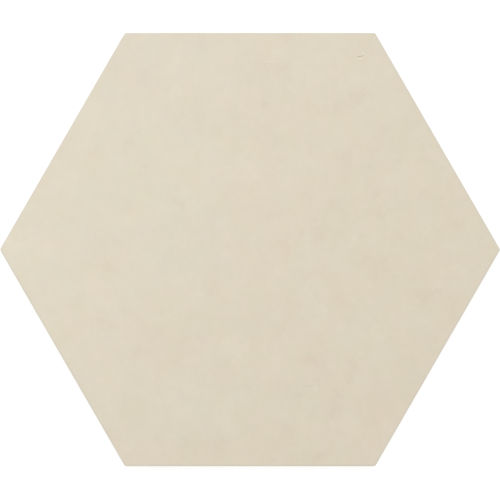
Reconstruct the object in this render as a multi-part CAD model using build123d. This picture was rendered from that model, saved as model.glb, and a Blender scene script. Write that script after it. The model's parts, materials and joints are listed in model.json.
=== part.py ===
from build123d import *
from math import sqrt
import os

# A dry-pressed porcelain floor tile: one fired piece, a regular hexagon lying face up.
# The frame's origin is the middle of the bedding plane. +Z comes out of the wearing face,
# +X runs through a corner and +Y through the middle of an edge.

# Driving dimensions, in millimetres and degrees
across_flats = 216.5  # edge to edge, which puts opposite corners 250 apart
thickness = 9.0  # bedding plane to wearing face
corner_radius = 1.2  # the six upright corners, seen from above
arris_radius = 0.8  # the eased edge round the wearing face

# The pressed edge: an upright land next to the face, and below it a skirt drafted inwards
land_depth = 5.0
skirt_draft = 8.0
back_chamfer = 0.5

# The key on the back: a field of shallow six-sided cells inside a plain border, which the adhesive fills
cell_rings = 4  # rings of cells round the middle one
cell_pitch = 24.0  # middle of one cell to the middle of the next
rib_width = 3.5  # flat rib left between two cells
cell_depth = 0.8
cell_draft = 30.0
cell_corner_radius = 2.0

# Sizes that follow from them
skirt_depth = thickness - land_depth
cell_width = cell_pitch - rib_width
row_pitch = cell_pitch * sqrt(3) / 2


def pressed_blank():
    """The tile before its key, made up and down from the line where the two halves of the die part."""
    hexagon = RegularPolygon(across_flats / 2, 6, major_radius=False)
    outline = fillet(hexagon.vertices(), corner_radius)
    land = extrude(outline, land_depth)
    skirt = mirror(extrude(outline, skirt_depth, taper=skirt_draft), about=Plane.XY)
    blank = Pos(0, 0, skirt_depth) * (land + skirt)
    blank = fillet(blank.faces().sort_by(Axis.Z)[-1].edges(), arris_radius)
    return chamfer(blank.faces().sort_by(Axis.Z)[0].edges(), back_chamfer)


def key_stud():
    """The die's stud for one cell: its foot in the bedding plane, its walls drafted, its corners round."""
    foot = RegularPolygon(cell_width / 2, 6, major_radius=False, rotation=30)
    stud = extrude(foot, cell_depth, taper=cell_draft)
    flat_edges = stud.faces().filter_by(Axis.Z).edges()
    return fillet(stud.edges() - flat_edges, cell_corner_radius)


def cell_places():
    """The middle of every cell, in rows that shorten away from the middle row and so fill a hexagon."""
    places = []
    for row in range(-cell_rings, cell_rings + 1):
        cells_in_row = 2 * cell_rings + 1 - abs(row)
        row_start = -cell_pitch * (cells_in_row - 1) / 2
        for column in range(cells_in_row):
            places.append(Pos(row_start + column * cell_pitch, row * row_pitch))
    return places


stud = key_stud()
tile = pressed_blank() - [place * stud for place in cell_places()]
tile.label = "hexagon_tile"

os.makedirs("parts", exist_ok=True)
export_step(tile, "parts/hexagon_tile.step")
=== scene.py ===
import json
from math import cos, pi, radians, sin, sqrt, tan

import bmesh
import bpy
from mathutils import Matrix, Vector, noise

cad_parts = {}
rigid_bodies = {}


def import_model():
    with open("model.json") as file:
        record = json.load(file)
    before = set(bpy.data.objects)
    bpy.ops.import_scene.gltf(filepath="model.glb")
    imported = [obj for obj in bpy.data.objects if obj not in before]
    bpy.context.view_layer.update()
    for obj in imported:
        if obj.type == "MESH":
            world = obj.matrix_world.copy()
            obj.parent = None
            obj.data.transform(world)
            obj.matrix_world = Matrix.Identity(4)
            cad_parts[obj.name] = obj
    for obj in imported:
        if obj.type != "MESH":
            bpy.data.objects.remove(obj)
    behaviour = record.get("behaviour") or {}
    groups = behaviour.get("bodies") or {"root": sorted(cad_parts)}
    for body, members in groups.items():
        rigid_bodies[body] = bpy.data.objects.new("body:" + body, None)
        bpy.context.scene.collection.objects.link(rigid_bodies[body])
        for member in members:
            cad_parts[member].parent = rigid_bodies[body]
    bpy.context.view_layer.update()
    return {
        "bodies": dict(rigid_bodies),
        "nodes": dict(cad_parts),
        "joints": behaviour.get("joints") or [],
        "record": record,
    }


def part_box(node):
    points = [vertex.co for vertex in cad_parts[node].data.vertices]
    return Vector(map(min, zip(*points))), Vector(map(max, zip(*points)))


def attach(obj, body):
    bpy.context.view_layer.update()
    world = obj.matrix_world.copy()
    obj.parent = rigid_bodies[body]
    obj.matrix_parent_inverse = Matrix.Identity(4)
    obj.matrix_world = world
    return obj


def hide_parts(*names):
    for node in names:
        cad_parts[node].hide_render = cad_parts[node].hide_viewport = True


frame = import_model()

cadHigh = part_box("hexagon_tile")[1]
mm = 0.001

# The tile's form. The box, and with it the outline and the thickness, comes from the frame
tileForm = {
    "apothem": cadHigh.y,
    "thickness": cadHigh.z,
    "edgeHeadings": (pi / 6, pi / 2, 5 * pi / 6),  # one for each pair of edges
    "sideSteps": 62,  # mesh edges along a side
    "cornerRadius": 1.2 * mm,
    "cornerSteps": 4,
    "landDepth": 5.0 * mm,
    "arris": 0.8 * mm,
    "arrisSteps": 6,
    "partingStep": 0.05 * mm,  # the skirt starts this far inside the land
    "skirtDraft": radians(8),
    "backChamfer": 0.5 * mm,
    "latticeGap": 1.6 * mm,  # from the arris to the even triangles of the face
    "planeTolerance": 0.001 * mm,  # what still counts as the plane of the face
    "wavinessDepth": 0.03 * mm,
    "wavinessSize": 32 * mm,
    "wavinessFade": 8 * mm,
    "sharpAngle": radians(32),
}
keyForm = {
    "rings": 4,
    "pitch": 24.0 * mm,
    "ribWidth": 3.5 * mm,
    "depth": 0.8 * mm,
    "wallDraft": radians(30),
    "cornerRadius": 2.0 * mm,
    "cornerSteps": 4,
    "ribEase": 0.25 * mm,  # the softened edge of a rib
    "floorEase": 0.3 * mm,
    "easeSteps": 3,
}
faceSlot, edgeSlot, backSlot = range(3)


# A rounded stretch of a section, as steps inwards and outwards, between two headings off the face's normal
def turned(radius, start, end, steps):
    side = 1 if end > start else -1
    headings = [start + (end - start) * step / steps for step in range(steps + 1)]
    points = [Vector((-side * radius * cos(heading), side * radius * sin(heading))) for heading in headings]
    return [tuple(after - before) for before, after in zip(points, points[1:])]


def drawAlong(bm, faces, section):
    for inwards, outwards in section:
        bmesh.ops.inset_individual(bm, faces=faces, thickness=inwards, depth=outwards, use_even_offset=True)


def roundedHexagon(bm, apothem, radius, steps, place):
    before = set(bm.faces)
    made = bmesh.ops.create_circle(bm, cap_ends=True, segments=6, radius=apothem / cos(pi / 6), matrix=place)
    bmesh.ops.bevel(
        bm, geom=made["verts"], offset=radius * tan(pi / 6), offset_type="OFFSET", segments=steps,
        profile=0.5, affect="VERTICES", material=-1,
    )
    return [face for face in bm.faces if face not in before]


# Fills the flat stretch between all the loops that are still open
def fillOpen(bm, normal, slot):
    openEdges = [edge for edge in bm.edges if len(edge.link_faces) < 2]
    filled = bmesh.ops.triangle_fill(bm, use_beauty=True, use_dissolve=False, edges=openEdges, normal=normal)
    for item in filled["geom"]:
        if isinstance(item, bmesh.types.BMFace):
            item.material_index = slot


# The blank: a foot at the parting line, drawn up to the arris and down to the chamfer.
# Only its six long sides are cut up, not the short steps round its corners
def pressBlank(bm):
    form = tileForm
    parting = form["thickness"] - form["landDepth"]
    place = Matrix.Translation((0, 0, parting)) @ Matrix.Rotation(pi / 6, 4, "Z")
    (foot,) = roundedHexagon(bm, form["apothem"], form["cornerRadius"], form["cornerSteps"], place)
    sides = [edge for edge in foot.edges if edge.calc_length() > form["apothem"] / 2]
    bmesh.ops.bisect_edges(bm, edges=sides, cuts=form["sideSteps"] - 1, edge_percents={})
    raised = bmesh.ops.extrude_face_region(bm, geom=bm.faces[:])["geom"]
    (top,) = [item for item in raised if isinstance(item, bmesh.types.BMFace)]
    bmesh.ops.translate(bm, verts=top.verts[:], vec=(0, 0, form["landDepth"] - form["arris"]))
    bmesh.ops.recalc_face_normals(bm, faces=bm.faces[:])
    for face in bm.faces:
        face.material_index = edgeSlot
    top.material_index = faceSlot
    drawAlong(bm, [top], turned(form["arris"], 0, pi / 2, form["arrisSteps"]))
    bottom = min(bm.faces, key=lambda face: face.calc_center_median().z)
    draft, chamfer = form["skirtDraft"], form["backChamfer"]
    skirtDepth = parting - chamfer * cos(draft)
    drawAlong(bm, [bottom], [
        (form["partingStep"], 0),
        (skirtDepth * tan(draft) - form["partingStep"], skirtDepth),
        (chamfer * (1 + sin(draft)), chamfer * cos(draft)),
    ])
    return top, bottom


# The face is laid with even triangles, so that it can carry the slight waviness of a fired glaze
def layFace(bm, top):
    form = tileForm
    bmesh.ops.delete(bm, geom=[top], context="FACES_ONLY")
    apothem = form["apothem"] - form["arris"] - form["latticeGap"]
    place = Matrix.Translation((0, 0, form["thickness"])) @ Matrix.Rotation(pi / 6, 4, "Z")
    fan = bmesh.ops.create_circle(
        bm, cap_ends=True, cap_tris=True, segments=6, radius=apothem / cos(pi / 6), matrix=place,
    )["verts"]
    spokes = list({edge for vert in fan for edge in vert.link_edges})
    bmesh.ops.subdivide_edges(bm, edges=spokes, cuts=form["sideSteps"] - 1, use_grid_fill=True)
    fillOpen(bm, (0, 0, 1), faceSlot)
    for vert in bm.verts:
        if vert.co.z > form["thickness"] - form["planeTolerance"]:
            vert.co.z -= waviness(vert.co)


def waviness(point):  # how far the face lies under its highest plane; it fades out towards the arris
    form = tileForm
    reach = max(abs(point.x * cos(heading) + point.y * sin(heading)) for heading in form["edgeHeadings"])
    share = min(max((form["apothem"] - reach - form["arris"]) / form["wavinessFade"], 0), 1)
    wave = noise.noise(point / form["wavinessSize"]) * 0.5 + 0.5
    return form["wavinessDepth"] * wave * share * share * (3 - 2 * share)


def keyPlaces():
    places = []
    for row in range(-keyForm["rings"], keyForm["rings"] + 1):
        count = 2 * keyForm["rings"] + 1 - abs(row)
        for column in range(count):
            x = keyForm["pitch"] * (column - (count - 1) / 2)
            places.append(Matrix.Translation((x, row * keyForm["pitch"] * sqrt(3) / 2, 0)))
    return places


# A cell's section, from the rib over its eased edge and down the drafted wall to the cell's floor
def keySection():
    form = keyForm
    wall, flat = form["wallDraft"], pi / 2
    easedDepth = (form["ribEase"] + form["floorEase"]) * (1 - sin(wall))
    wallDepth = form["depth"] - easedDepth
    ribTurn = turned(form["ribEase"], flat, wall, form["easeSteps"])
    floorTurn = turned(form["floorEase"], wall, flat, form["easeSteps"])
    return [*ribTurn, (wallDepth * tan(wall), wallDepth), *floorTurn]


# The key on the back: eased, drafted cells, and the ribs and border filled in round them
def pressKey(bm, bottom):
    form = keyForm
    bmesh.ops.delete(bm, geom=[bottom], context="FACES_ONLY")
    spread = form["ribEase"] * tan((pi / 2 - form["wallDraft"]) / 2)
    apothem = (form["pitch"] - form["ribWidth"]) / 2 + spread
    cells = []
    for place in keyPlaces():
        cells += roundedHexagon(bm, apothem, form["cornerRadius"] + spread, form["cornerSteps"], place)
    for cell in cells:
        cell.material_index = backSlot
    fillOpen(bm, (0, 0, -1), backSlot)
    drawAlong(bm, cells, keySection())
    return cells


# A wire is a node's output socket that can stand in an expression, which adds the Math nodes
class Wire:
    def __init__(self, finish, socket):
        self.finish = finish
        self.socket = socket

    def other(self, name):  # another output of the same node
        return Wire(self.finish, self.socket.node.outputs[name])

    def __add__(self, other):
        return self.finish.maths("ADD", self, other)

    def __radd__(self, other):
        return self.finish.maths("ADD", other, self)

    def __sub__(self, other):
        return self.finish.maths("SUBTRACT", self, other)

    def __rsub__(self, other):
        return self.finish.maths("SUBTRACT", other, self)

    def __mul__(self, other):
        return self.finish.maths("MULTIPLY", self, other)

    def __rmul__(self, other):
        return self.finish.maths("MULTIPLY", other, self)

    def __abs__(self):
        return self.finish.maths("ABSOLUTE", self)


def isVector(term):  # a vector or a colour
    if isinstance(term, Wire):
        return term.socket.type != "VALUE"
    return isinstance(term, tuple)


# A noise pattern mostly keeps within a quarter of its middle value
noiseMiddle = 0.5
noiseGain = 4


# The nodes of one material, or of the world
class Finish:
    def __init__(self, owner):
        owner.use_nodes = True
        self.owner = owner
        self.tree = owner.node_tree
        self.tree.nodes.clear()

    # any node: its settings first, then the values or wires of its sockets
    def node(self, kind, settings, inputs, output=0):
        made = self.tree.nodes.new(kind)
        for name, value in settings.items():
            setattr(made, name, value)
        for name, value in inputs.items():
            socket = made.inputs[name]
            if isinstance(value, Wire):
                self.tree.links.new(value.socket, socket)
            elif socket.type == "RGBA":
                socket.default_value = (*value, 1)
            else:
                socket.default_value = value
        return Wire(self, made.outputs[output]) if made.outputs else made

    # a Math node, or Vector Math where a vector or a colour is among the terms
    def maths(self, operation, *terms):
        kind = "ShaderNodeMath"
        if any(isVector(term) for term in terms):
            kind = "ShaderNodeVectorMath"
            terms = [(term,) * 3 if isinstance(term, (int, float)) else term for term in terms]
        return self.node(kind, {"operation": operation}, dict(enumerate(terms)))

    def highest(self, first, *others):
        for other in others:
            first = self.maths("MAXIMUM", first, other)
        return first

    def place(self):  # where a point is on the tile, in metres
        return self.node("ShaderNodeTexCoord", {}, {}, "Object")

    def parts(self, vector):
        split = self.node("ShaderNodeSeparateXYZ", {}, {0: vector}).socket.node
        return [Wire(self, socket) for socket in split.outputs]

    def joined(self, x, y, z):
        return self.node("ShaderNodeCombineXYZ", {}, {0: x, 1: y, 2: z})

    # a cloud is a dictionary of its size, detail and roughness, and a seed for a pattern of its own
    def noiseNode(self, place, cloud, output):
        return self.node("ShaderNodeTexNoise", {"noise_dimensions": "4D"}, {
            "Vector": place, "W": cloud["seed"], "Scale": 1 / cloud["size"],
            "Detail": cloud["detail"], "Roughness": cloud["roughness"],
        }, output)

    def clouds(self, place, cloud):  # about -1 to 1
        return (self.noiseNode(place, cloud, 0) - noiseMiddle) * noiseGain

    # the place moved about by up to reach, which makes the outlines of what is drawn there uneven
    def wandering(self, place, cloud, reach):
        return (self.noiseNode(place, cloud, "Color") - (noiseMiddle,) * 3) * (reach * noiseGain) + place

    # spots in a share of the cells of a grid: 1 in the middle of a spot, 0 outside it. The core is the part
    # of a spot's radius at full strength, and fullPart is the part of the spots that are not fainter
    def spots(self, place, look, core=0.3, fullPart=0.4):
        inputs = {"Vector": place, "Scale": 1 / look["spacing"]}
        distance = self.node("ShaderNodeTexVoronoi", {"voronoi_dimensions": "2D"}, inputs)
        lot = self.parts(distance.other("Color"))[0]
        radius, share = look["radius"] / look["spacing"], look["share"]
        return self.step(distance, radius, radius * core) * self.step(lot, share, share * fullPart)

    # 0 at the start value, 1 at the end value, eased between them
    def step(self, value, start, end):
        inputs = {"Value": value, "From Min": start, "From Max": end}
        return self.node("ShaderNodeMapRange", {"interpolation_type": "SMOOTHSTEP"}, inputs)

    def mix(self, mask, first, second):
        return self.node("ShaderNodeMix", {"data_type": "RGBA"}, {0: mask, 6: first, 7: second}, 2)

    def bump(self, height):  # height in metres
        return self.node("ShaderNodeBump", {}, {"Height": height, "Distance": 1.0, "Strength": 1.0})

    def surface(self, values):
        shader = self.node("ShaderNodeBsdfPrincipled", {}, values)
        self.node("ShaderNodeOutputMaterial", {}, {"Surface": shader})
        return self.owner


def linear(level):  # a displayed level from 0 to 255, as light, by the display's standard curve
    share = level / 255
    return share / 12.92 if share <= 0.04045 else ((share + 0.055) / 1.055) ** 2.4


def paint(levels):  # a colour given in displayed levels, as light
    return tuple(linear(level) for level in levels)


def change(levels, more):  # what more displayed levels add to a colour, as light
    return tuple(linear(level + step / 2) - linear(level - step / 2) for level, step in zip(levels, more))


oneLevel = (1, 1, 1)  # one displayed level more of red, green and blue

# The wearing face: a matte cream print with faint clouds, and a tone that drifts lighter towards its upper
# left.
# Lengths are in metres, colours in displayed levels from 0 to 255. The glaze's sheen adds a little white
faceLook = {
    "cream": (220.0, 210.1, 189.6),
    "driftShares": (0.82, 1.0, 1.1),  # what one level of drift adds to red, green and blue
    "fallPerMetre": 30.0,  # darker to the right
    "risePerMetre": 33.0,  # lighter to the top
    "bowPerSquareMetre": 70.0,  # the left and right corners are lighter than the upper and lower edges
    "blotches": {"size": 15 * mm, "detail": 3, "roughness": 0.75, "seed": 6.0},
    "blotchContrast": 1.5,
    "blotchRange": (0.2, 1.8),  # from the first trace of a blotch to its full strength
    "lightBlotch": (3.6, 3.3, 3.3),  # levels at full strength
    "darkBlotch": (-2.7, -4.4, -4.0),  # a little warmer than the cream
    "wander": {"size": 9 * mm, "detail": 3, "roughness": 0.6, "seed": 5.0},  # for the outlines of the patches
    "wanderReach": 3 * mm,
    "patchRange": (1.7, 0.2),  # where a patch starts and where it is full, in half sizes
    "strokeRange": (1.6, 0.1),
    "specks": {"spacing": 7 * mm, "radius": 0.7 * mm, "share": 0.3},
    "speckLevels": -1.8,
    "thinLevels": (-2.6, -0.5, 3.0),  # less yellow where the glaze draws thin over the arris
    "thinRange": (1.4 * mm, 0.5 * mm),  # from the edge
    "grain": {"size": 0.7 * mm, "detail": 3, "roughness": 0.6, "seed": 21.0},
    "grainDepth": 0.004 * mm,
    "swell": {"size": 9 * mm, "detail": 2, "roughness": 0.5, "seed": 22.0},
    "swellDepth": 0.008 * mm,
    "hairlineDepth": 0.02 * mm,
    "gloss": {"size": 36 * mm, "detail": 4, "roughness": 0.6, "seed": 23.0},
    "glossSwing": 0.05,
    "roughness": 0.6,
}
# Clouds in the print, each with the displayed levels that it adds
faceClouds = {
    "mottle": {"size": 16 * mm, "detail": 4, "roughness": 0.9, "seed": 4.0, "levels": (2.6, 3.7, 4.4)},
    "hue": {"size": 14 * mm, "detail": 3, "roughness": 0.8, "seed": 7.0, "levels": (-1.9, 0.8, 0.4)},
    "warmth": {"size": 12 * mm, "detail": 3, "roughness": 0.7, "seed": 9.0, "levels": (-0.3, -0.3, 2.0)},
    "grain": {"size": 0.7 * mm, "detail": 1, "roughness": 0.5, "seed": 11.0, "levels": (0.4, 0.4, 0.4)},
}
# Broad washes of a slightly other tone: middle and half sizes in mm, turn in degrees and levels
faceWashes = {
    "greenLeft": {"at": (-56, 36), "size": (30, 24), "turn": 0, "levels": (-0.1, 1.2, 0.6)},
    "violetUpper": {"at": (-50, 95), "size": (25, 16), "turn": 0, "levels": (-0.4, -0.6, 0.8)},
    "lightUpper": {"at": (37, 92), "size": (16, 10), "turn": 0, "levels": (0.8, 1.0, 0.9)},
    "lightCorner": {"at": (-116, 1), "size": (8, 12), "turn": 0, "levels": (1.2, 1.3, 1.0)},
    "tealInner": {"at": (-34, 2), "size": (13, 24), "turn": 0, "levels": (-1.2, 0.3, 0)},
    "pinkTop": {"at": (0, 74), "size": (16, 13), "turn": 0, "levels": (0.3, -0.5, -0.3)},
    "pinkMiddle": {"at": (6, 17), "size": (14, 42), "turn": 0, "levels": (1.0, -0.2, 0.3)},
    "oliveRight": {"at": (68, 0), "size": (28, 26), "turn": 0, "levels": (0.1, 0.6, -0.4)},
    "greenRight": {"at": (62, -46), "size": (20, 20), "turn": 0, "levels": (-0.6, 0.5, 0)},
    "pinkLeft": {"at": (-54, -52), "size": (20, 13), "turn": -10, "levels": (-0.5, -1.5, -1.1)},
    "tealFoot": {"at": (-24, -79), "size": (60, 14), "turn": 0, "levels": (-0.3, 1.4, 1.6)},
}
# Single strokes in the print, and two painted highlights beside the hairline: middle, half length and half
# width in mm, turn in degrees, bend and levels
faceStrokes = {
    "hairline": {"at": (54.5, 96.35), "size": (1.12, 0.27), "turn": -3, "bend": 0.4, "levels": -27},
    "hairlineEnd": {"at": (56.2, 96.72), "size": (0.7, 0.27), "turn": 20, "bend": 0, "levels": -22},
    # painted highlights on the hairline's rim, one below it and one above its end
    "hairlinePaintedHighlightBelow": {"at": (55.2, 95.35), "size": (1.5, 0.45), "turn": 8, "bend": 0.5, "levels": 6},
    "hairlinePaintedHighlightAbove": {"at": (56.35, 97.95), "size": (0.7, 0.35), "turn": 30, "bend": 0, "levels": 5},
    "scrape": {"at": (12.2, 93.9), "size": (2.4, 0.45), "turn": -6, "bend": -1.0, "levels": 4.5},
    "scrapeStart": {"at": (8.4, 93.75), "size": (0.7, 0.5), "turn": 0, "bend": 0, "levels": 4},
    "scrapeFoot": {"at": (8.3, 92.95), "size": (0.9, 0.4), "turn": 0, "bend": 0, "levels": -3},
    "streak": {"at": (29.0, -68.2), "size": (3.0, 0.4), "turn": 0, "bend": 0, "levels": -4.5},
    "streakEnd": {"at": (34.5, -67.7), "size": (0.8, 0.6), "turn": -40, "bend": 0, "levels": -5},
    "streakLight": {"at": (33.3, -68.9), "size": (0.7, 0.6), "turn": 0, "bend": 0, "levels": 4},
    "streakTop": {"at": (32.6, -65.4), "size": (2.3, 0.45), "turn": 0, "bend": 0, "levels": -2.4},
}
# Places where the print's blotches gather, dark ones for a weight below 0 and light ones above it
facePatches = {
    "scrapeShade": {"at": (12.8, 90.2), "size": (7.5, 4.4), "turn": -6, "weight": -1.2},
    "smudge": {"at": (24.4, -71.6), "size": (2.6, 1.2), "turn": 10, "weight": -1.4},
    "clusterLeft": {"at": (-37.0, 24.3), "size": (3.4, 2.2), "turn": -20, "weight": -2.0},
    "clusterLow": {"at": (-71.4, -38.0), "size": (5, 5), "turn": 0, "weight": -1.1},
    "clusterTop": {"at": (-8.0, 68.2), "size": (4, 3), "turn": 40, "weight": -1.2},
    "clusterMiddle": {"at": (6.0, 73.5), "size": (2.2, 1.4), "turn": 0, "weight": -1.3},
    "patchRight": {"at": (62.0, -8.0), "size": (9, 7), "turn": -15, "weight": -1.0},
    "patchRim": {"at": (91.0, -25.5), "size": (8, 6), "turn": -10, "weight": -0.5},
    "patchSide": {"at": (39.0, 8.0), "size": (7, 8), "turn": 0, "weight": -0.9},
    "patchUpper": {"at": (52.0, 75.0), "size": (12, 6), "turn": 0, "weight": -1.0},
    "patchShoulder": {"at": (66.5, 58.0), "size": (7, 5), "turn": -30, "weight": -1.2},
    "patchCentre": {"at": (-18.0, -20.2), "size": (6, 5), "turn": 30, "weight": -1.6},
    "patchBelow": {"at": (16.0, -40.5), "size": (7, 6), "turn": 0, "weight": -0.7},
    "patchLow": {"at": (29.9, -53.6), "size": (8, 5), "turn": 0, "weight": -0.7},
    "patchStreak": {"at": (50.0, -59.0), "size": (5, 8), "turn": 15, "weight": -1.5},
    "patchFoot": {"at": (-33.5, -94.5), "size": (4, 7), "turn": 0, "weight": -0.8},
    "patchFootMiddle": {"at": (-16.5, -98.0), "size": (5, 8), "turn": -20, "weight": -0.8},
    "patchFootRight": {"at": (18.5, -91.0), "size": (6, 7), "turn": 0, "weight": -1.1},
    "patchCorner": {"at": (41.0, -79.5), "size": (9, 7), "turn": 0, "weight": -0.9},
    "patchCornerFoot": {"at": (28.0, -103.5), "size": (9, 5), "turn": 0, "weight": -1.2},
    "patchInner": {"at": (46.4, 44.8), "size": (7, 5), "turn": 0, "weight": -1.3},
    "patchOuter": {"at": (65.9, 21.3), "size": (7, 9), "turn": -20, "weight": -0.8},
    "patchMiddle": {"at": (31.0, -25.0), "size": (6, 7), "turn": -30, "weight": -0.9},
    "patchLeft": {"at": (-38.0, 19.0), "size": (9, 7), "turn": 0, "weight": -0.8},
    "paleCorner": {"at": (49.9, -90.1), "size": (5, 5), "turn": 0, "weight": 0.7},
    "paleTop": {"at": (-41.0, 90.0), "size": (7, 11), "turn": 0, "weight": 0.6},
    "paleUpper": {"at": (-71.0, 59.0), "size": (20, 13), "turn": 50, "weight": 0.4},
    "paleRow": {"at": (-3.0, 41.0), "size": (6, 5), "turn": 0, "weight": 0.6},
    "paleLeft": {"at": (-46.5, 15.5), "size": (6, 5), "turn": 30, "weight": 0.6},
    "paleSpot": {"at": (-59.5, 15.0), "size": (5, 4), "turn": 0, "weight": 1.7},
    "paleRight": {"at": (86.0, 13.0), "size": (7, 6), "turn": 0, "weight": 1.1},
    "paleLow": {"at": (-9.0, -48.0), "size": (7, 10), "turn": 0, "weight": 0.9},
    "paleRim": {"at": (-80.0, -18.0), "size": (6, 7), "turn": -30, "weight": 1.0},
    "paleCentre": {"at": (-31.0, -15.0), "size": (5, 5), "turn": 0, "weight": 1.0},
    "paleFoot": {"at": (9.0, -99.0), "size": (5, 4), "turn": 0, "weight": 0.8},
}


# The place in a mark's own frame, where its ends lie at 1 and -1
def markFrame(finish, place, mark):
    halfLong, halfWide = mark["size"]
    return finish.node("ShaderNodeMapping", {"vector_type": "TEXTURE"}, {
        "Vector": place,
        "Location": (mark["at"][0] * mm, mark["at"][1] * mm, 0),
        "Rotation": (0, 0, radians(mark["turn"])),
        "Scale": (halfLong * mm, halfWide * mm, 1),
    })


# 1 along a stroke and 0 outside it; its ends are blunt and bent upwards by the bend, in half widths
def strokeMask(finish, place, stroke):
    x, y, _ = finish.parts(markFrame(finish, place, stroke))
    along = x * x
    across = y - along * stroke["bend"]
    return finish.step(along * along + across * across, *faceLook["strokeRange"])


def patchMask(finish, place, patch):
    frame = markFrame(finish, place, patch)
    reach = finish.node("ShaderNodeVectorMath", {"operation": "LENGTH"}, {0: frame}, "Value")
    return finish.step(reach, *faceLook["patchRange"])


# The blotches, specks and strokes of the print, with the painted highlights beside the hairline; specks and
# strokes are neutral
def faceMarks(finish, place, uneven):
    look = faceLook
    cream = look["cream"]
    density = finish.clouds(place, look["blotches"]) * look["blotchContrast"]
    for patch in facePatches.values():
        density = density + patchMask(finish, uneven, patch) * patch["weight"]
    light = finish.step(density, *look["blotchRange"])
    dark = finish.step(density * -1, *look["blotchRange"])
    tone = finish.spots(place, look["specks"]) * look["speckLevels"]
    for stroke in faceStrokes.values():
        tone = tone + strokeMask(finish, place, stroke) * stroke["levels"]
    blotches = light * change(cream, look["lightBlotch"]) + dark * change(cream, look["darkBlotch"])
    return tone * change(cream, oneLevel) + blotches


# A slow drift of tone, lighter towards the upper left and at the left and right corners, and the print's
# washes and clouds
def faceGround(finish, place, uneven):
    look = faceLook
    x, y, _ = finish.parts(place)
    drift = y * look["risePerMetre"] - x * look["fallPerMetre"] + (x * x - y * y) * look["bowPerSquareMetre"]
    ground = drift * change(look["cream"], look["driftShares"])
    for wash in faceWashes.values():
        ground = ground + patchMask(finish, uneven, wash) * change(look["cream"], wash["levels"])
    for cloud in faceClouds.values():
        ground = ground + finish.clouds(place, cloud) * change(look["cream"], cloud["levels"])
    return ground


# The glaze's colour, with the print's pattern, and where the glaze draws thin along the edges
def creamGlaze(finish, place, pattern):
    look = faceLook
    x, y, _ = finish.parts(place)
    reaches = [abs(x * cos(heading) + y * sin(heading)) for heading in tileForm["edgeHeadings"]]
    thin = finish.step(tileForm["apothem"] - finish.highest(*reaches), *look["thinRange"])
    return pattern + thin * change(look["cream"], look["thinLevels"]) + paint(look["cream"])


def makeFaceFinish():
    look = faceLook
    finish = Finish(bpy.data.materials.new("creamMatteGlaze"))
    place = finish.place()
    uneven = finish.wandering(place, look["wander"], look["wanderReach"])
    pattern = faceGround(finish, place, uneven) + faceMarks(finish, place, uneven)
    grain = finish.clouds(place, look["grain"]) * look["grainDepth"]
    swell = finish.clouds(place, look["swell"]) * look["swellDepth"]
    grooves = [strokeMask(finish, place, faceStrokes[name]) for name in ("hairline", "hairlineEnd")]
    return finish.surface({
        "Base Color": creamGlaze(finish, place, pattern),
        "Roughness": finish.clouds(place, look["gloss"]) * look["glossSwing"] + look["roughness"],
        "Normal": finish.bump(grain + swell - finish.highest(*grooves) * look["hairlineDepth"]),
    })


# The pressed edge: bare fired body under a rim of glaze, with a parting line and upright die marks
edgeLook = {
    "body": (204, 194, 175),
    "dieMarks": {"size": 2.2 * mm, "detail": 4, "roughness": 0.65, "seed": 31.0},
    "dieMarkStretch": 0.12,  # the marks run up the edge
    "dieMarkLevels": 5.0,
    "grain": {"size": 0.3 * mm, "detail": 2, "roughness": 0.7, "seed": 34.0},
    "grainLevels": 6.0,
    "grainDepth": 0.01 * mm,
    "pits": {"size": 0.5 * mm, "detail": 2, "roughness": 0.5, "seed": 32.0},
    "pitRange": (0.7, 1.1),  # the cloud's level where a pit starts and where it is full
    # the pits' darker colour is painted shade inside their hollows
    "pitShadeLevels": -10,
    "pitDepth": 0.03 * mm,
    "glazeFoot": 7.4 * mm,  # height at which the glaze gives out
    "glazeWander": {"size": 4 * mm, "detail": 3, "roughness": 0.6, "seed": 33.0},
    "glazeReach": 0.4 * mm,
    "glazeFade": 0.12 * mm,
    "glazeDepth": 0.03 * mm,
    "partingHalfWidth": 0.16 * mm,
    "partingLevels": -14,
    "roughness": 0.72,
}


def makeEdgeFinish():
    look = edgeLook
    finish = Finish(bpy.data.materials.new("pressedBodyEdge"))
    place = finish.place()
    x, y, z = finish.parts(place)
    dieMarks = finish.clouds(finish.joined(x, y, z * look["dieMarkStretch"]), look["dieMarks"])
    grain = finish.clouds(place, look["grain"])
    pits = finish.step(finish.clouds(place, look["pits"]), *look["pitRange"])
    fromParting = abs(z - (tileForm["thickness"] - tileForm["landDepth"]))
    parting = finish.step(fromParting, look["partingHalfWidth"], 0.0)
    # the pits are painted darker: painted shade in their hollows
    tone = dieMarks * look["dieMarkLevels"] + grain * look["grainLevels"] + pits * look["pitShadeLevels"]
    body = (tone + parting * look["partingLevels"]) * change(look["body"], oneLevel) + paint(look["body"])
    height = z + finish.clouds(place, look["glazeWander"]) * look["glazeReach"]
    glazed = finish.step(height, look["glazeFoot"] - look["glazeFade"], look["glazeFoot"] + look["glazeFade"])
    uneven = finish.wandering(place, faceLook["wander"], faceLook["wanderReach"])
    glaze = creamGlaze(finish, place, faceGround(finish, place, uneven))
    rise = glazed * look["glazeDepth"] - pits * look["pitDepth"] + grain * (1 - glazed) * look["grainDepth"]
    return finish.surface({
        "Base Color": finish.mix(glazed, body, glaze),
        "Roughness": look["roughness"] + glazed * (faceLook["roughness"] - look["roughness"]),
        "Normal": finish.bump(rise),
    })


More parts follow.
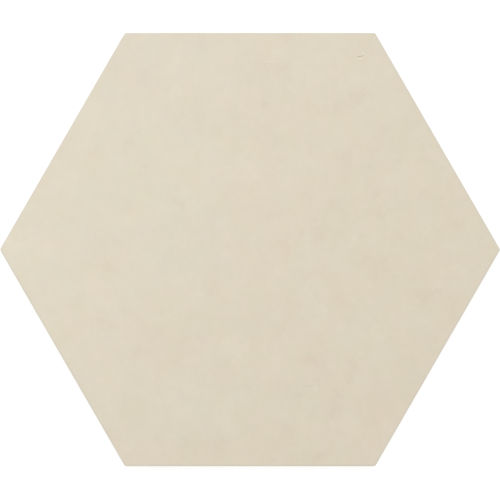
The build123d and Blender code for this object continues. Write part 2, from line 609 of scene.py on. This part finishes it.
# The back: chalky kiln wash on the ribs and border, rubbed by the kiln's rollers, and bare body in the cells
backLook = {
    "body": (207, 197, 178),
    "powder": {"size": 1.4 * mm, "detail": 4, "roughness": 0.6, "seed": 41.0},
    "powderLevels": 5.0,
    "powderDepth": 0.03 * mm,
    "grain": {"size": 0.3 * mm, "detail": 2, "roughness": 0.7, "seed": 47.0},
    "grainLevels": 6.0,
    "stain": {"size": 26 * mm, "detail": 3, "roughness": 0.6, "seed": 45.0},  # uneven tone from the kiln
    "stainLevels": 3.5,
    "wash": (228, 223, 212),
    "washRange": (0.22 * mm, 0.066 * mm),  # heights on a cell's wall: the last trace of wash, and all of it
    "washEdge": {"size": 3 * mm, "detail": 3, "roughness": 0.6, "seed": 42.0},
    "washReach": 0.08 * mm,
    "rollers": {"size": 5 * mm, "detail": 5, "roughness": 0.6, "seed": 43.0},
    "rollerStretch": 0.06,  # the rollers' marks run along X
    "patches": {"size": 12 * mm, "detail": 5, "roughness": 0.6, "seed": 44.0},
    "thinRange": (0.1, 1.1),  # the clouds' level where the wash starts to thin, and where it is thinnest
    "thinShare": 0.7,
    "dust": {"size": 7 * mm, "detail": 5, "roughness": 0.65, "seed": 46.0},  # stray wash in the cells
    "dustRange": (0.0, 1.6),
    "dustShare": 0.3,
    "iron": {"spacing": 13 * mm, "radius": 0.35 * mm, "share": 0.3},
    "ironLevels": -38,
    "ironCover": 0.6,  # how far an iron speck shows through the wash
    "roughness": 0.85,
    "washRoughness": 0.93,
}


def makeBackFinish():
    look = backLook
    finish = Finish(bpy.data.materials.new("washedBodyBack"))
    place = finish.place()
    x, y, z = finish.parts(place)
    powder = finish.clouds(place, look["powder"])
    iron = finish.spots(place, look["iron"])
    tone = powder * look["powderLevels"] + iron * look["ironLevels"]
    for layer in ("grain", "stain"):
        tone = tone + finish.clouds(place, look[layer]) * look[layer + "Levels"]
    body = tone * change(look["body"], oneLevel) + paint(look["body"])
    height = z + finish.clouds(place, look["washEdge"]) * look["washReach"]
    rubbed = finish.clouds(finish.joined(x * look["rollerStretch"], y, z), look["rollers"])
    thinned = finish.step(rubbed + finish.clouds(place, look["patches"]), *look["thinRange"])
    ribs = finish.step(height, *look["washRange"]) * (1 - thinned * look["thinShare"])
    dust = finish.step(finish.clouds(place, look["dust"]), *look["dustRange"]) * look["dustShare"]
    washed = finish.highest(ribs, dust) * (1 - iron * look["ironCover"])
    return finish.surface({
        "Base Color": finish.mix(washed, body, paint(look["wash"])),
        "Roughness": look["roughness"] + washed * (look["washRoughness"] - look["roughness"]),
        "Normal": finish.bump(powder * look["powderDepth"]),
    })


def makeTile():
    bm = bmesh.new()
    top, bottom = pressBlank(bm)
    layFace(bm, top)
    cells = pressKey(bm, bottom)
    bmesh.ops.recalc_face_normals(bm, faces=bm.faces[:])
    for face in bm.faces:
        face.smooth = True
    for edge in bm.edges:
        edge.smooth = edge.calc_face_angle(0) < tileForm["sharpAngle"]
    openEdges = sum(not edge.is_manifold for edge in bm.edges)
    print("tile:", len(cells), "cells,", len(bm.faces), "faces,", openEdges, "open edges,",
          "volume", round(bm.calc_volume() / mm ** 3), "mm3")
    mesh = bpy.data.meshes.new("pressedTile")
    bm.to_mesh(mesh)
    bm.free()
    for finish in (makeFaceFinish(), makeEdgeFinish(), makeBackFinish()):
        mesh.materials.append(finish)
        print("finish:", finish.name, "with", len(finish.node_tree.nodes), "nodes")
    piece = bpy.data.objects.new("pressedTile", mesh)
    bpy.context.scene.collection.objects.link(piece)
    evened = piece.modifiers.new("evenShading", "WEIGHTED_NORMAL")
    evened.keep_sharp = True
    return piece


tilePiece = makeTile()
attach(tilePiece, "root")
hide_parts("hexagon_tile")

# Light and floor. Rays that see the background find it white, and the lamps alone light the tile
stageLook = {
    "skyLevel": 0.85,
    "sunLevel": 0.15,
    "sunTilt": radians(32),
    "sunFrom": radians(90),  # from the top of the picture
    "sunSpread": radians(40),
    "floorReach": 30.0,
    "floorDrop": 0.02 * mm,  # keeps the floor from lying in the plane of the tile's back
    "floorBounce": 0.8,  # the floor's colour where it lights the tile
    "floorShade": 0.5,  # its colour where it is seen, which sets how dark the shadow is
    "floorLift": 0.64,  # added where it is seen, so that its open parts are white
    "nearRay": 2 * mm,  # shorter rays come from the tile's back, and pass through the floor
}


def seenRays(finish):  # 1 for rays that come from the camera, a reflection or a refraction
    kinds = ("Is Camera Ray", "Is Glossy Ray", "Is Transmission Ray")
    return finish.highest(*[finish.node("ShaderNodeLightPath", {}, {}, kind) for kind in kinds])


def makeSky():
    world = bpy.data.worlds.new("softWhiteRoom")
    bpy.context.scene.world = world
    finish = Finish(world)
    seen = seenRays(finish)
    level = seen + (1 - seen) * stageLook["skyLevel"]
    sky = finish.node("ShaderNodeBackground", {}, {"Color": finish.joined(level, level, level)})
    finish.node("ShaderNodeOutputWorld", {}, {"Surface": sky})


def makeSun():
    tilt, turn = stageLook["sunTilt"], stageLook["sunFrom"]
    lamp = bpy.data.lights.new("softKey", "SUN")
    lamp.energy = stageLook["sunLevel"] * pi / cos(tilt)
    lamp.angle = stageLook["sunSpread"]
    sun = bpy.data.objects.new("softKey", lamp)
    towards = Vector((sin(tilt) * cos(turn), sin(tilt) * sin(turn), cos(tilt)))
    sun.rotation_euler = towards.to_track_quat("Z", "Y").to_euler()
    bpy.context.scene.collection.objects.link(sun)


# A white floor that keeps the tile's shadow. It has no underside, and it lets the light through
# to a back that is seen from below
def makeFloor():
    look = stageLook
    bm = bmesh.new()
    place = Matrix.Translation((0, 0, -look["floorDrop"]))
    bmesh.ops.create_grid(bm, x_segments=1, y_segments=1, size=look["floorReach"], matrix=place)
    mesh = bpy.data.meshes.new("floor")
    bm.to_mesh(mesh)
    bm.free()
    finish = Finish(bpy.data.materials.new("whiteFloor"))
    seen = seenRays(finish)
    colour = look["floorBounce"] + seen * (look["floorShade"] - look["floorBounce"])
    lift = seen * look["floorLift"]
    plain = finish.node("ShaderNodeBsdfPrincipled", {}, {
        "Base Color": finish.joined(colour, colour, colour), "Roughness": 1.0, "Specular IOR Level": 0.0,
        "Emission Color": finish.joined(lift, lift, lift), "Emission Strength": 1.0,
    })
    clear = finish.node("ShaderNodeBsdfTransparent", {}, {})
    under = finish.node("ShaderNodeNewGeometry", {}, {}, "Backfacing")
    rayLength = finish.node("ShaderNodeLightPath", {}, {}, "Ray Length")
    through = finish.highest(under, finish.maths("LESS_THAN", rayLength, look["nearRay"]))
    shown = finish.node("ShaderNodeMixShader", {}, {0: through, 1: plain, 2: clear})
    finish.node("ShaderNodeOutputMaterial", {}, {"Surface": shown})
    mesh.materials.append(finish.owner)
    floor = bpy.data.objects.new("floor", mesh)
    bpy.context.scene.collection.objects.link(floor)


# The camera looks straight down, with the tile's corners at the sides of the picture
cameraLook = {
    "lens": 200.0,
    "sensor": 36.0,
    "framePixels": 500,
    "tilePixels": 500.6,  # corner to corner
    "tileMiddle": (250.05, 249.55),  # pixels from the left and from the top
}


def makeCamera():
    look = cameraLook
    pixel = 2 * tileForm["apothem"] / cos(pi / 6) / look["tilePixels"]
    middle = look["framePixels"] / 2
    camera = bpy.data.cameras.new("overhead")
    camera.lens = look["lens"]
    camera.sensor_width = look["sensor"]
    holder = bpy.data.objects.new("overhead", camera)
    away = look["framePixels"] * pixel * look["lens"] / look["sensor"]
    holder.location = (
        (middle - look["tileMiddle"][0]) * pixel,
        (look["tileMiddle"][1] - middle) * pixel,
        tileForm["thickness"] + away,
    )
    bpy.context.scene.collection.objects.link(holder)
    bpy.context.scene.camera = holder


makeSky()
makeSun()
makeFloor()
makeCamera()
bpy.context.scene.view_settings.view_transform = "Standard"
print("light, floor and camera in place")
